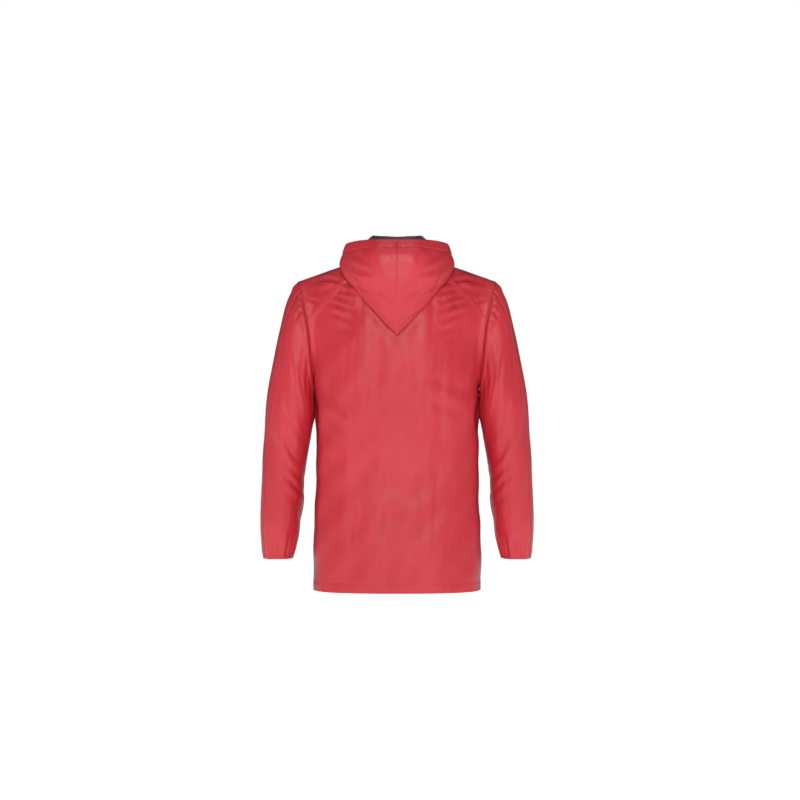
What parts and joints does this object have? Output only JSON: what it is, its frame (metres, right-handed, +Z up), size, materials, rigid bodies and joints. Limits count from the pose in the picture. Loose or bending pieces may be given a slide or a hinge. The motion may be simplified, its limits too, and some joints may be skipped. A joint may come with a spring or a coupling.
{
  "type": "hooded hardshell jacket",
  "caption": "Zipped hardshell jacket standing as if worn, with its hood folded down the back, straight sleeves and zipped hand pockets.",
  "frame": {"origin": "middle of the neck opening, level with the sides of the neck seam", "axes": "+Z up, -Y the way the wearer faces, +X the wearer's left"},
  "size_m": [0.6468, 0.2853, 0.8351],
  "materials": {
    "shell_cloth": "smooth coated cloth, satin",
    "lining_cloth": "matt woven lining",
    "seam_tape": "smooth welded tape",
    "label": "plain satin ribbon",
    "zip_tape": "woven",
    "zip_coil": "satin",
    "zip_metal": "dark satin",
    "elastic": "ribbed elastic"
  },
  "bodies": {
    "shell": {"back_panel": "shell_cloth", "front_panel_left": "shell_cloth", "front_panel_right": "shell_cloth", "shoulder_yoke_left": "shell_cloth", "shoulder_yoke_right": "shell_cloth", "collar_shell": "shell_cloth", "pocket_welt_left": "shell_cloth", "pocket_welt_right": "shell_cloth", "collar_lining": "lining_cloth", "hem_facing": "lining_cloth", "lining_back": "lining_cloth", "lining_front_left": "lining_cloth", "lining_front_right": "lining_cloth", "wind_flap": "lining_cloth", "pocket_bag_left": "lining_cloth", "pocket_bag_right": "lining_cloth", "side_seam_tape_left": "seam_tape", "side_seam_tape_right": "seam_tape", "yoke_seam_tape_left": "seam_tape", "yoke_seam_tape_right": "seam_tape", "hanger_loop": "seam_tape", "neck_label": "label", "main_zip_tape_left": "zip_tape", "main_zip_tape_right": "zip_tape", "pocket_zip_tape_left": "zip_tape", "pocket_zip_tape_right": "zip_tape", "main_zip_coil_left": "zip_coil", "main_zip_coil_right": "zip_coil", "pocket_zip_coil_left": "zip_coil", "pocket_zip_coil_right": "zip_coil", "hood_cord_eyelets": "zip_metal", "main_zip_top_stops": "zip_metal", "main_zip_pin_and_box": "zip_metal"},
    "hood": {"hood_panel_left": "shell_cloth", "hood_panel_right": "shell_cloth", "hood_lining": "lining_cloth", "hood_brim_facing": "lining_cloth"},
    "left_sleeve": {"sleeve_back_left": "shell_cloth", "sleeve_front_left": "shell_cloth", "sleeve_lining_left": "lining_cloth", "cuff_elastic_left": "elastic", "cuff_facing_left": "lining_cloth"},
    "right_sleeve": {"sleeve_back_right": "shell_cloth", "sleeve_front_right": "shell_cloth", "sleeve_lining_right": "lining_cloth", "cuff_elastic_right": "elastic", "cuff_facing_right": "lining_cloth"},
    "main_slider": {"main_zip_slider": "zip_metal"},
    "main_pull": {"main_zip_pull": "zip_metal"},
    "left_pocket_slider": {"pocket_slider_left": "zip_metal"},
    "right_pocket_slider": {"pocket_slider_right": "zip_metal"},
    "left_pocket_pull": {"pocket_pull_left": "zip_metal"},
    "right_pocket_pull": {"pocket_pull_right": "zip_metal"}
  },
  "joints": [
    {"name": "main_slider_slide", "type": "slide", "parent": "shell", "child": "main_slider", "axis": [0, -0.0502, -0.9987], "range_m": [0, 0.79]},
    {"name": "main_pull_swing", "type": "hinge", "parent": "main_slider", "child": "main_pull", "pos_m": [0, -0.0922, 0.04909], "axis": [1, 0, 0], "range_deg": [-80, 0]},
    {"name": "hood_fold", "type": "hinge", "parent": "shell", "child": "hood", "pos_m": [0, -0.025, 0], "axis": [1, 0, 0], "range_deg": [0, 35]},
    {"name": "left_sleeve_swing", "type": "hinge", "parent": "shell", "child": "left_sleeve", "pos_m": [0.234, 0, -0.052], "axis": [0, -1, 0], "range_deg": [0, 50]},
    {"name": "left_pocket_slider_slide", "type": "slide", "parent": "shell", "child": "left_pocket_slider", "axis": [0.1168, -0.017, -0.993], "range_m": [0, 0.1572]},
    {"name": "left_pocket_pull_swing", "type": "hinge", "parent": "left_pocket_slider", "child": "left_pocket_pull", "pos_m": [0.10623, -0.11162, -0.46087], "axis": [0.9532, 0.2825, 0.1073], "range_deg": [-80, 0]},
    {"name": "right_sleeve_swing", "type": "hinge", "parent": "shell", "child": "right_sleeve", "pos_m": [-0.234, 0, -0.052], "axis": [0, 1, 0], "range_deg": [0, 50]},
    {"name": "right_pocket_slider_slide", "type": "slide", "parent": "shell", "child": "right_pocket_slider", "axis": [-0.1168, -0.017, -0.993], "range_m": [0, 0.1572]},
    {"name": "right_pocket_pull_swing", "type": "hinge", "parent": "right_pocket_slider", "child": "right_pocket_pull", "pos_m": [-0.10623, -0.11162, -0.46087], "axis": [0.9532, -0.2825, -0.1073], "range_deg": [-80, 0]}
  ]
}
